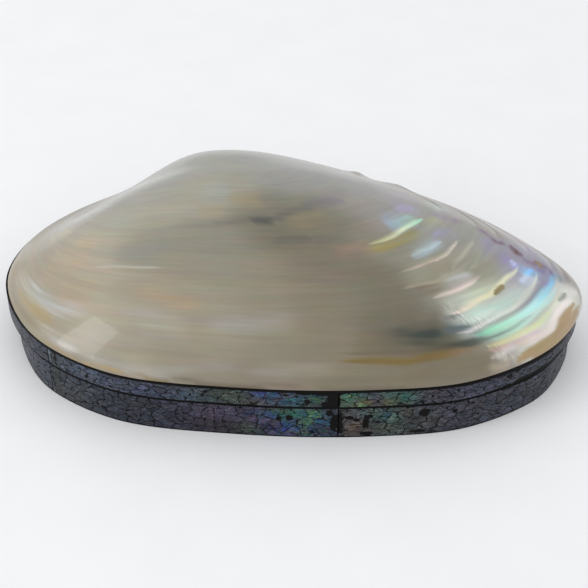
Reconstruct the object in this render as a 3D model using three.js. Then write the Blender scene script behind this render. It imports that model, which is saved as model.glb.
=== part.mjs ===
// A keepsake box about as long as a hand. Its lid is one polished valve of a river mussel,
// set on a black frame; the tray below has the same plan. Both walls carry strips of
// crackled paua shell. Sizes are millimetres, +X runs to the narrow end of the shell,
// +Y to its hinge side and +Z up, with the middle of the underside at the origin.
import * as THREE from 'three';
import { mergeVertices } from 'three/addons/utils/BufferGeometryUtils.js';

// Heights of the tray, of the frame under the shell, and of the shell itself
const TRAY_TOP = 11.5;
const FRAME_TOP = 18.25;
const DOME_RISE = 29.2;
const EDGE_RISE = 1.4;

// Walls
const STRIP_THICKNESS = 1.2;
const FRAME_WALL = 3.8;
const TRAY_WALL = 5.4;
const TRAY_FLOOR = 3;
const EDGE_BAND = 0.4;
const GLUE_LINE = 0.8;
const GLUE_LINE_EXTRA = 1;
const LIP_HEIGHT = 2;
const LIP_THICKNESS = 1.2;
const SHELL_WALL = 2.8;

// How far each plan stops short of the full outline at its two tips
const SHELL_SHORT = { left: 0.6, right: 0 };
const FRAME_SHORT = { left: 0, right: 0.9 };
const TRAY_SHORT = { left: 2.3, right: 2.4 };
const TIP_STARTS = 72;
const TIP_LENGTH = 19;

// Plan of the box: a fuller round end to the left, a narrower tip to the right
const OUTLINE = [
  [91, -13], [78, 11.5], [53, 35.5], [27, 52.5], [0, 59.4],
  [-35, 54], [-63, 42], [-85.5, 19], [-91, -5], [-80, -31.5],
  [-54, -51], [-16, -58], [25, -59], [54, -54.5], [80.5, -37],
];
const outlineCurve = new THREE.CatmullRomCurve3(
  OUTLINE.map(([x, y]) => new THREE.Vector3(x, y, 0)), true, 'centripetal');
const STEPS_ROUND = 75;

// The dome: its crown in plan, and how its fall to the edge changes with direction in degrees
const CROWN = new THREE.Vector2(-18.5, 10.9);
const ROUNDNESS = 1.98;
const FALL = 0.68;
const BACK_SLOPE = { angle: 41, width: 49, fall: 0.39, roundness: -0.24 };
const BACK_WING = { angle: 157, width: 24, fall: 0.78 };
const FRONT_WING = { angle: -173, width: 30, fall: 0.4 };
const EDGE_SHARPNESS = 60;

// Growth of the shell: the beak it grew from, and the years that left a groove
const BEAK = new THREE.Vector2(-45, 44);
const GROWTH_LINES = [0.675, 0.757, 0.805, 0.876, 0.93, 0.958];
const GROOVE_WIDTH = 0.009;
const GROOVE_DEPTH = 0.35;
const GROOVES_START = 5;
const GROOVES_FULL = 55;

// Two low knobs above the hinge edge, the dip between them and the wide hollow round them
const HINGE_KNOBS = [
  { x: 22.3, y: 35, height: 0.95, reach: 2.9 },
  { x: 28.3, y: 34, height: -0.45, reach: 2.2 },
  { x: 35.1, y: 26.5, height: 1.05, reach: 4.7 },
  { x: 32, y: 33, height: -0.46, reach: 23 },
];

// Where the strips meet, as shares of the way round from the right tip
const STRIP_JOINTS = [0.622, 0.781];
const JOINT_GAP = 0.0003;

function smoothStep(value) {
  const part = THREE.MathUtils.clamp(value, 0, 1);
  return part * part * (3 - 2 * part);
}

// A point of the plan, moved in from the outline and drawn short at the tips
function planPoint(share, inset, short) {
  const point = outlineCurve.getPoint(share);
  const along = outlineCurve.getTangent(share);
  const tip = smoothStep((Math.abs(point.x) - TIP_STARTS) / TIP_LENGTH);
  const shift = point.x > 0 ? -short.right * tip : short.left * tip;
  return new THREE.Vector2(point.x - along.y * inset + shift, point.y + along.x * inset);
}

// One closed row of points round the box; the height may depend on x
function planRow(inset, height, short) {
  return Array.from({ length: STEPS_ROUND }, (_, step) => {
    const point = planPoint(step / STEPS_ROUND, inset, short);
    const z = typeof height === 'function' ? height(point.x) : height;
    return new THREE.Vector3(point.x, point.y, z);
  });
}

// Skins rows of points with triangles; a row of one point is a pole, and a ring joins its ends
function skin(rows, ring = false) {
  const starts = [];
  const positions = [];
  for (const row of rows) {
    starts.push(positions.length / 3);
    row.forEach((point) => positions.push(point.x, point.y, point.z));
  }
  const index = [];
  const pairs = ring ? rows.length : rows.length - 1;
  for (let r = 0; r < pairs; r++) {
    const next = (r + 1) % rows.length;
    const count = Math.max(rows[r].length, rows[next].length);
    for (let c = 0; c < count; c++) {
      const corner = (row, column) => starts[row] + (column % rows[row].length);
      if (rows[next].length > 1) {
        index.push(corner(r, c), corner(next, c), corner(next, c + 1));
      }
      if (rows[r].length > 1) {
        index.push(corner(r, c), corner(next, c + 1), corner(r, c + 1));
      }
    }
  }
  const geometry = new THREE.BufferGeometry();
  geometry.setAttribute('position', new THREE.Float32BufferAttribute(positions, 3));
  geometry.setIndex(index);
  const merged = mergeVertices(geometry);
  merged.computeVertexNormals();
  return merged;
}

// How strongly a direction belongs to one lobe of the shell
function lobe(angle, { angle: centre, width }) {
  const away = THREE.MathUtils.euclideanModulo(angle - centre + 180, 360) - 180;
  return Math.exp(-((away / width) ** 2));
}

// Height of the dome as a share of its rise, from 1 at the crown to 0 at the edge
function domeShare(out, angle) {
  const back = lobe(angle, BACK_SLOPE);
  const roundness = ROUNDNESS + BACK_SLOPE.roundness * back;
  const fall = FALL + BACK_SLOPE.fall * back
    + BACK_WING.fall * lobe(angle, BACK_WING)
    + FRONT_WING.fall * lobe(angle, FRONT_WING);
  return Math.max(0, 1 - out ** roundness) ** fall;
}

const RIM_STEPS = STEPS_ROUND * 10;
const shellRim = Array.from({ length: RIM_STEPS }, (_, step) =>
  planPoint(step / RIM_STEPS, 0, SHELL_SHORT).sub(CROWN));

// How far out a point of the plan lies, from 0 at the crown to 1 on the shell's edge
function outwardness(point) {
  const offset = point.clone().sub(CROWN);
  for (let step = 0; step < RIM_STEPS; step++) {
    const from = shellRim[step];
    const side = shellRim[(step + 1) % RIM_STEPS].clone().sub(from);
    const along = offset.cross(side);
    const position = from.cross(offset) / along;
    const reach = from.cross(side) / along;
    if (along > 0 && reach > 0 && position >= -1e-6 && position <= 1 + 1e-6) {
      return Math.min(1, 1 / reach);
    }
  }
  return 0;
}

// Grooves left by growth, which deepen towards the narrow end
function growthRelief(age, x) {
  const towardsTip = smoothStep((x - GROOVES_START) / (GROOVES_FULL - GROOVES_START));
  const groove = GROWTH_LINES.reduce(
    (sum, line) => sum + Math.exp(-(((age - line) / GROOVE_WIDTH) ** 2)), 0);
  return -GROOVE_DEPTH * towardsTip * groove;
}

function hingeRelief(point) {
  return HINGE_KNOBS.reduce((sum, knob) => {
    const away = Math.hypot(point.x - knob.x, point.y - knob.y) / knob.reach;
    return sum + knob.height * Math.exp(-away * away);
  }, 0);
}

// One growth ring of the outer face; age 0 is the beak and 1 the edge
function growthRing(age) {
  const count = age === 0 ? 1 : STEPS_ROUND;
  return Array.from({ length: count }, (_, step) => {
    const edge = planPoint(step / STEPS_ROUND, 0, SHELL_SHORT);
    const point = BEAK.clone().lerp(edge, age);
    const out = age === 1 ? 1 : outwardness(point);
    const offset = point.clone().sub(CROWN);
    const angle = THREE.MathUtils.radToDeg(Math.atan2(offset.y, offset.x));
    const edgeRise = EDGE_RISE * Math.sqrt(1 - out ** EDGE_SHARPNESS);
    const relief = age === 1 ? 0 : growthRelief(age, point.x) + hingeRelief(point);
    const z = FRAME_TOP + edgeRise + DOME_RISE * domeShare(out, angle) + relief;
    return new THREE.Vector3(point.x, point.y, Math.max(z, FRAME_TOP));
  });
}

// One ring of the hollow inner face
function innerRing(out) {
  const count = out === 0 ? 1 : STEPS_ROUND;
  const rise = DOME_RISE + EDGE_RISE - SHELL_WALL;
  return Array.from({ length: count }, (_, step) => {
    const edge = planPoint(step / STEPS_ROUND, SHELL_WALL, SHELL_SHORT);
    const point = CROWN.clone().lerp(edge, out);
    const offset = edge.sub(CROWN);
    const angle = THREE.MathUtils.radToDeg(Math.atan2(offset.y, offset.x));
    return new THREE.Vector3(point.x, point.y, FRAME_TOP + rise * domeShare(out, angle));
  });
}

// Ages of the rings: spread out near the beak, close at the edge, and a set of three per groove
const RINGS = 14;
const INNER_RINGS = 10;

function ringAges() {
  const ages = Array.from({ length: RINGS + 1 }, (_, step) => 1 - (1 - step / RINGS) ** 1.7);
  const clear = ages.filter((age) =>
    GROWTH_LINES.every((line) => Math.abs(age - line) > 2.2 * GROOVE_WIDTH));
  const grooves = GROWTH_LINES.flatMap((line) =>
    [line - 1.5 * GROOVE_WIDTH, line, line + 1.5 * GROOVE_WIDTH]);
  return [...clear, ...grooves].sort((a, b) => a - b);
}

function shellGeometry() {
  const outer = ringAges().map(growthRing);
  const inner = Array.from({ length: INNER_RINGS + 1 }, (_, step) =>
    innerRing(1 - (step / INNER_RINGS) ** 1.7));
  return skin([...outer, ...inner]);
}

// The black glue line under the shell is thicker towards the narrow end
const stripTop = (x) => FRAME_TOP - GLUE_LINE - GLUE_LINE_EXTRA * smoothStep((x - 30) / 60);
const frameRow = (inset, height) => planRow(inset, height, FRAME_SHORT);
const trayRow = (inset, height) => planRow(inset, height, TRAY_SHORT);

function frameGeometry() {
  return skin([
    frameRow(FRAME_WALL, TRAY_TOP),
    frameRow(FRAME_WALL, FRAME_TOP),
    frameRow(0, FRAME_TOP),
    frameRow(0, stripTop),
    frameRow(STRIP_THICKNESS, stripTop),
    frameRow(STRIP_THICKNESS, TRAY_TOP + EDGE_BAND),
    frameRow(0, TRAY_TOP + EDGE_BAND),
    frameRow(0, TRAY_TOP),
  ], true);
}

function trayGeometry() {
  const lipOut = TRAY_WALL - LIP_THICKNESS;
  return skin([
    [new THREE.Vector3(0, 0, TRAY_FLOOR)],
    trayRow(TRAY_WALL, TRAY_FLOOR),
    trayRow(TRAY_WALL, TRAY_TOP + LIP_HEIGHT),
    trayRow(lipOut, TRAY_TOP + LIP_HEIGHT),
    trayRow(lipOut, TRAY_TOP),
    trayRow(0, TRAY_TOP),
    trayRow(0, TRAY_TOP - EDGE_BAND),
    trayRow(STRIP_THICKNESS, TRAY_TOP - EDGE_BAND),
    trayRow(STRIP_THICKNESS, EDGE_BAND),
    trayRow(0, EDGE_BAND),
    trayRow(0, 0),
    [new THREE.Vector3(0, 0, 0)],
  ]);
}

// A strip of paua between two joints, let into the wall between its black edges
function stripGeometry(from, to, bottom, top, short) {
  const first = Math.ceil((from + JOINT_GAP) * STEPS_ROUND);
  const last = Math.floor((to - JOINT_GAP) * STEPS_ROUND);
  const shares = [from + JOINT_GAP];
  for (let step = first; step <= last; step++) {
    shares.push(step / STEPS_ROUND);
  }
  shares.push(to - JOINT_GAP);
  const sections = shares.map((share) => {
    const out = planPoint(share % 1, 0, short);
    const back = planPoint(share % 1, STRIP_THICKNESS, short);
    const height = (edge, x) => (typeof edge === 'function' ? edge(x) : edge);
    return [
      new THREE.Vector3(out.x, out.y, height(bottom, out.x)),
      new THREE.Vector3(out.x, out.y, height(top, out.x)),
      new THREE.Vector3(back.x, back.y, height(top, back.x)),
      new THREE.Vector3(back.x, back.y, height(bottom, back.x)),
    ];
  });
  const middle = (section) => [section.reduce(
    (sum, corner) => sum.add(corner), new THREE.Vector3()).divideScalar(section.length)];
  return skin([middle(sections[0]), ...sections, middle(sections.at(-1))]);
}

function frameStrip(from, to) {
  return stripGeometry(from, to, TRAY_TOP + EDGE_BAND, stripTop, FRAME_SHORT);
}

function trayStrip(from, to) {
  return stripGeometry(from, to, EDGE_BAND, TRAY_TOP - EDGE_BAND, TRAY_SHORT);
}

const nacre = () => new THREE.MeshStandardMaterial(
  { color: 0xb3aa9a, roughness: 0.15, metalness: 0 });
const blackResin = () => new THREE.MeshStandardMaterial(
  { color: 0x161517, roughness: 0.3, metalness: 0 });
const crackledPaua = () => new THREE.MeshStandardMaterial(
  { color: 0x4a5058, roughness: 0.25, metalness: 0 });

const shellBox = new THREE.Group();
shellBox.name = 'shell_box';

function addPiece(name, geometry, material) {
  const piece = new THREE.Mesh(geometry, material);
  piece.name = name;
  shellBox.add(piece);
}

const [leftJoint, frontJoint] = STRIP_JOINTS;
addPiece('shell_lid', shellGeometry(), nacre());
addPiece('lid_frame', frameGeometry(), blackResin());
addPiece('lid_strip_front', frameStrip(leftJoint, frontJoint), crackledPaua());
addPiece('lid_strip_round', frameStrip(frontJoint, leftJoint + 1), crackledPaua());
addPiece('box_tray', trayGeometry(), blackResin());
addPiece('box_strip_front', trayStrip(leftJoint, frontJoint), crackledPaua());
addPiece('box_strip_round', trayStrip(frontJoint, leftJoint + 1), crackledPaua());

export default shellBox;
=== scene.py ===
import math

import bmesh
import bpy
import numpy as np
from mathutils import Matrix, Vector, noise
from mathutils.kdtree import KDTree


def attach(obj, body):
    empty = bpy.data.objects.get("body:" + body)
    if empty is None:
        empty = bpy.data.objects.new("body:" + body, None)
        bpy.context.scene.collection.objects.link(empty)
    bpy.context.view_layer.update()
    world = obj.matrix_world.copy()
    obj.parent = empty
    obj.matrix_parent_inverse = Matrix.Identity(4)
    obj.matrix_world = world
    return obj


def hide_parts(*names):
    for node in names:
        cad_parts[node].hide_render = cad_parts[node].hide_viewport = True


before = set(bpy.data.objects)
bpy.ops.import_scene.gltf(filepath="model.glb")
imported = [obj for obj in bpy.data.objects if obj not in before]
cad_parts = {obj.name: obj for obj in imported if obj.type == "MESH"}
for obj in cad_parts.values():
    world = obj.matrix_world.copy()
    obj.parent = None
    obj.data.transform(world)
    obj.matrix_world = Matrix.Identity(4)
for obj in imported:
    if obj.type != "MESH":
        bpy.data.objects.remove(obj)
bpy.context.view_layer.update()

# Sizes are millimetres here and metres in Blender
MM = 0.001

# Heights of the tray, of the frame under the shell, and of the shell
TRAY_TOP = 11.5
FRAME_TOP = 18.25
DOME_RISE = 29.2
EDGE_RISE = 1.4

# Walls
STRIP_THICKNESS = 1.2
FRAME_WALL = 3.8
TRAY_WALL = 5.4
TRAY_FLOOR = 3.0
EDGE_BAND = 0.4
GLUE_LINE = 1.1
GLUE_LINE_EXTRA = 1.0
LIP_HEIGHT = 2.0
LIP_THICKNESS = 1.2
SHELL_WALL = 2.8

# How far each plan stops short of the outline at its left and right tips
SHELL_SHORT = (0.6, 0.0)
FRAME_SHORT = (0.0, 0.9)
TRAY_SHORT = (2.3, 2.4)
TIP_STARTS = 72.0
TIP_LENGTH = 19.0

# Plan of the box, from the right tip over the back
OUTLINE = np.array([
    (91, -13), (78, 11.5), (53, 35.5), (27, 52.5), (0, 59.4),
    (-35, 54), (-63, 42), (-85.5, 19), (-91, -5), (-80, -31.5),
    (-54, -51), (-16, -58), (25, -59), (54, -54.5), (80.5, -37),
], dtype=float)

# The dome: its crown in plan, and how its fall to the edge changes with direction in degrees
CROWN = np.array([-18.5, 10.9])
ROUNDNESS = 1.98
FALL = 0.68
BACK_SLOPE = {"angle": 41, "width": 49, "fall": 0.39, "roundness": -0.24}
BACK_WING = {"angle": 157, "width": 24, "fall": 0.78}
FRONT_WING = {"angle": -173, "width": 30, "fall": 0.4}
EDGE_SHARPNESS = 60

# Growth of the shell from its beak, and the years that left a groove
BEAK = np.array([-45.0, 44.0])
GROWTH_LINES = [0.675, 0.757, 0.805, 0.876, 0.93, 0.958]
GROOVE_WIDTH = 0.009
GROOVE_DEPTH = 0.35
GROOVES_START = 5
GROOVES_FULL = 55

# Two low knobs above the hinge edge, the dip between them and the hollow round them:
# x, y, height, reach
HINGE_KNOBS = [(22.3, 35, 0.95, 2.9), (28.3, 34, -0.45, 2.2), (35.1, 26.5, 1.05, 4.7),
               (32, 33, -0.46, 23)]

# Where the strips meet, as shares of the way round from the right tip
STRIP_JOINTS = (0.622, 0.781)
JOINT_GAP = 0.0003


def srgb(red, green, blue):
    """A colour given as 0 to 255, as the linear numbers that a shader takes."""
    parts = []
    for value in (red, green, blue):
        share = value / 255
        parts.append(share / 12.92 if share <= 0.04045 else ((share + 0.055) / 1.055) ** 2.4)
    return tuple(parts)


def smooth_step(value):
    part = np.clip(value, 0, 1)
    return part * part * (3 - 2 * part)


# Plan curves
def outline_points(shares):
    """Points and unit tangents of the closed outline at shares of the way round."""
    count = len(OUTLINE)
    place = (np.asarray(shares, float) % 1.0) * count
    first = np.floor(place).astype(int)
    w = (place - first)[:, None]
    before, start, end, after = (OUTLINE[(first + step) % count] for step in (-1, 0, 1, 2))
    gap = [np.sqrt(np.linalg.norm(b - a, axis=1))[:, None]
           for a, b in ((before, start), (start, end), (end, after))]
    leave = ((start - before) / gap[0] - (end - before) / (gap[0] + gap[1])
             + (end - start) / gap[1]) * gap[1]
    arrive = ((end - start) / gap[1] - (after - start) / (gap[1] + gap[2])
              + (after - end) / gap[2]) * gap[1]
    square = -3 * start + 3 * end - 2 * leave - arrive
    cube = 2 * start - 2 * end + leave + arrive
    points = start + leave * w + square * w ** 2 + cube * w ** 3
    along = leave + 2 * square * w + 3 * cube * w ** 2
    return points, along / np.linalg.norm(along, axis=1)[:, None]


def plan_points(shares, inset, short):
    """Points moved in from the outline by inset, and drawn short at the two tips."""
    points, along = outline_points(shares)
    tip = smooth_step((np.abs(points[:, 0]) - TIP_STARTS) / TIP_LENGTH)
    shift = np.where(points[:, 0] > 0, -short[1], short[0]) * tip
    inward = np.stack([-along[:, 1], along[:, 0]], axis=1)
    moved = points + inward * inset
    moved[:, 0] += shift
    return moved


ROUND = np.linspace(0, 1, 4001)
LENGTH_ROUND = np.concatenate([[0], np.cumsum(np.linalg.norm(
    np.diff(plan_points(ROUND, 0, (0, 0)), axis=0), axis=1))])


def arc_length(share):
    """Millimetres round the outline from the right tip."""
    return np.interp(share % 1.0, ROUND, LENGTH_ROUND) + LENGTH_ROUND[-1] * np.floor(share)


# The shell's surface
def lobe(angle, at):
    away = (angle - at["angle"] + 180) % 360 - 180
    return np.exp(-(away / at["width"]) ** 2)


def dome_share(out, angle):
    """Height as a share of the rise, from 1 at the crown to 0 on the edge."""
    back = lobe(angle, BACK_SLOPE)
    roundness = ROUNDNESS + BACK_SLOPE["roundness"] * back
    fall = (FALL + BACK_SLOPE["fall"] * back + BACK_WING["fall"] * lobe(angle, BACK_WING)
            + FRONT_WING["fall"] * lobe(angle, FRONT_WING))
    return np.maximum(0, 1 - out ** roundness) ** fall


def bearing(offset):
    return np.degrees(np.arctan2(offset[:, 1], offset[:, 0]))


RIM_OFFSET = plan_points(np.arange(4000) / 4000, 0, SHELL_SHORT) - CROWN
RIM_ORDER = np.argsort(bearing(RIM_OFFSET))
RIM_BEARING = bearing(RIM_OFFSET)[RIM_ORDER]
RIM_REACH = np.linalg.norm(RIM_OFFSET, axis=1)[RIM_ORDER]


def outwardness(points):
    """How far out points lie, from 0 at the crown to 1 on the shell's edge."""
    offset = points - CROWN
    reach = np.interp(bearing(offset), RIM_BEARING, RIM_REACH, period=360)
    return np.minimum(1, np.linalg.norm(offset, axis=1) / reach)


def growth_relief(age, x):
    towards_tip = smooth_step((x - GROOVES_START) / (GROOVES_FULL - GROOVES_START))
    groove = sum(np.exp(-((age - line) / GROOVE_WIDTH) ** 2) for line in GROWTH_LINES)
    return -GROOVE_DEPTH * towards_tip * groove


def hinge_relief(points):
    return sum(height * np.exp(-((points[:, 0] - x) ** 2 + (points[:, 1] - y) ** 2) / reach ** 2)
               for x, y, height, reach in HINGE_KNOBS)


def outer_height(points, age):
    """Height of the polished outer face over points of the plan."""
    out = np.where(age >= 1, 1, outwardness(points))
    edge_rise = EDGE_RISE * np.sqrt(np.maximum(0, 1 - out ** EDGE_SHARPNESS))
    relief = np.where(age >= 1, 0, growth_relief(age, points[:, 0]) + hinge_relief(points))
    dome = DOME_RISE * dome_share(out, bearing(points - CROWN))
    return np.maximum(FRAME_TOP, FRAME_TOP + edge_rise + dome + relief)


# Mesh helpers
def put_in_scene(name, data):
    thing = bpy.data.objects.new(name, data)
    bpy.context.scene.collection.objects.link(thing)
    return thing


def new_piece(name, mesh_data, nodes, material, sharp_turn):
    """Makes the finished bmesh an object that stands for some CAD nodes.

    Edges stay crisp where the faces turn by more than sharp_turn, in degrees.
    """
    mesh = bpy.data.meshes.new(name)
    mesh_data.to_mesh(mesh)
    mesh_data.free()
    for polygon in mesh.polygons:
        polygon.use_smooth = True
    mesh.set_sharp_from_angle(angle=math.radians(sharp_turn))
    mesh.materials.append(material)
    piece = put_in_scene(name, mesh)
    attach(piece, "root")
    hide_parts(*nodes)
    return piece


# The shell
SHELL_COLUMNS = 400
SHELL_ROWS = 235
OUTER_ROWS = 185
# Columns crowd at the right tip, where the growth lines are: parts of a turn, shares of the way
COLUMN_MARKS = [0, 0.55, 1]
COLUMN_SHARES = [0.8, 1.05, 1.8]
# Rows of the outer face, and the growth that each has reached
ROW_MARKS = [0, 40, OUTER_ROWS]
ROW_AGES = [0, 0.6, 1]
# Above 1, rows of the hollow crowd towards its edge
ROW_CROWDING = 1.7
SHELL_GROUND = "968f82"
SHELL_HOLLOW = "c4beb4"
SHELL_SHARP_TURN = 60
# How much the ground counts where no broad tone lies
GROUND_SHARE = 0.05


def shell_lid(material):
    """A hollow valve: the upper part of a globe is its outer face, the rest its hollow."""
    bm = bmesh.new()
    bmesh.ops.create_uvsphere(bm, u_segments=SHELL_COLUMNS, v_segments=SHELL_ROWS, radius=1)
    globe = np.array([v.co[:] for v in bm.verts])
    turn = np.arctan2(globe[:, 1], globe[:, 0]) / (2 * np.pi)
    turn = np.round(turn * SHELL_COLUMNS) / SHELL_COLUMNS % 1.0
    turn = np.interp(turn, COLUMN_MARKS, COLUMN_SHARES) % 1.0
    row = np.round(np.arccos(np.clip(globe[:, 2], -1, 1)) / np.pi * SHELL_ROWS)
    outside = row <= OUTER_ROWS
    age = np.interp(row, ROW_MARKS, ROW_AGES)
    outer = BEAK + age[:, None] * (plan_points(turn, 0, SHELL_SHORT) - BEAK)
    first_inner = OUTER_ROWS + 1
    inward = np.clip((row - first_inner) / (SHELL_ROWS - first_inner), 0, 1)
    hollow_edge = plan_points(turn, SHELL_WALL, SHELL_SHORT)
    inner = CROWN + (1 - inward[:, None] ** ROW_CROWDING) * (hollow_edge - CROWN)
    rise = DOME_RISE + EDGE_RISE - SHELL_WALL
    share = dome_share(1 - inward ** ROW_CROWDING, bearing(hollow_edge - CROWN))
    height = np.where(outside, outer_height(outer, age), FRAME_TOP + rise * share)
    place = np.column_stack([np.where(outside[:, None], outer, inner), height])
    for vertex, spot in zip(bm.verts, place * MM):
        vertex.co = spot
    bmesh.ops.recalc_face_normals(bm, faces=bm.faces)
    piece = new_piece("polished_shell", bm, ["shell_lid"], material, SHELL_SHARP_TURN)
    around = 2 * np.pi * turn
    growth = np.column_stack([np.cos(around), np.sin(around), age])
    tint = piece.data.color_attributes.new("tint", "FLOAT_COLOR", "POINT")
    tint.data.foreach_set("color", shell_tint(place, growth, outside).ravel())
    lines = piece.data.attributes.new("growth", "FLOAT_VECTOR", "POINT")
    lines.data.foreach_set("vector", growth.ravel())


# Painting the shell with brush strokes that lie on its surface
# Broad tones of the shell: colour, strength, reach in mm, plan points. They carry the shell's own colour
# together with painted light and shade, as noted below
SHELL_TONES_AND_PAINTED_LIGHT = [
    # Lighter left flank: partly painted light
    ("a09580", 0.9, 14, "-82 -1 -82 -14 -76 -30"),
    ("aea694", 0.85, 14, "-64 -16 -58 -35"),
    ("a29e94", 0.8, 12, "-71 7 -61 6 -52 6"),
    # This tone and the one two lines down, pale cool grey over the back and top: painted reflection of the
    # light overhead
    ("a2a298", 0.9, 12, "-45 10 -33 20 -16 20"),
    ("a4a08e", 0.8, 8, "-43 -7 -32 -3 -20 1"),
    ("a09f9a", 0.9, 8, "-4 21 9 15 22 10"),
    ("9c9a94", 0.7, 6, "-4 4 9 4"),
    ("a09885", 0.85, 12, "-41 -36 -40 -47 -27 -49"),
    ("928e7f", 0.85, 9, "-39 -22 -28 -23 -19 -27"),
    ("9a9380", 0.8, 9, "-27 -37 -19 -42 -19 -48"),
    # The darker tones from here on over the front and front right are partly painted shade
    ("827e6e", 0.9, 8.5, "-6 -10 3 -10 10 -12"),
    ("797363", 0.85, 8, "-4 -19 3 -21 10 -23"),
    ("938b78", 0.7, 10, "-8 -41 -4 -47 -8 -35"),
    ("837b6b", 0.85, 9, "8 -31 11 -38 14 -28"),
    ("89806f", 0.8, 7, "7 -44 11 -49 8 -52"),
    ("7a7463", 0.9, 7, "24 -33 28 -38 25 -44"),
    ("8f8a7c", 0.75, 5, "21 -20 28 -23 33 -20"),
    ("98938c", 0.8, 6, "16 -3 23 -5 29 -7"),
    ("a29f9a", 0.8, 6, "32 3 42 -1 49 -4"),
    ("9e9d94", 0.8, 6, "40 -15 50 -13 58 -13"),
    ("9c9a88", 0.8, 7, "41 -27 50 -25 57 -24"),
    ("6c6758", 0.8, 4, "27 -48 34 -47 40 -46"),
    ("7a725e", 0.8, 4, "22 -52 31 -52 40 -52"),
    # Darker along the front edge: painted shade where the surface turns down towards the dark floor
    ("8f8876", 0.8, 5, "-36 -54 -17 -55 0 -57"),
    ("88806e", 0.8, 5, "5 -57 17 -57 28 -57"),
    ("867d6a", 0.85, 5, "36 -56 45 -54 54 -51"),
    # Pale tones at the front of the right end: painted iridescent glow
    ("c4c6ba", 0.85, 5, "52 -38 57 -36 62 -31"),
    ("ced6ce", 0.85, 5, "55 -43 63 -38 70 -31"),
    ("deded4", 0.85, 5, "72 -41 78 -33 84 -23"),
    ("646254", 0.8, 3.5, "29 -50 37 -50 45 -49"),
    ("8c8472", 0.8, 5, "-88 -16 -82 -29"),
    ("8e897a", 0.8, 5, "-71 -40 -62 -47 -52 -51"),
    ("a09dac", 0.9, 5.5, "69 -21 76 -12 68 -14"),
]
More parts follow.
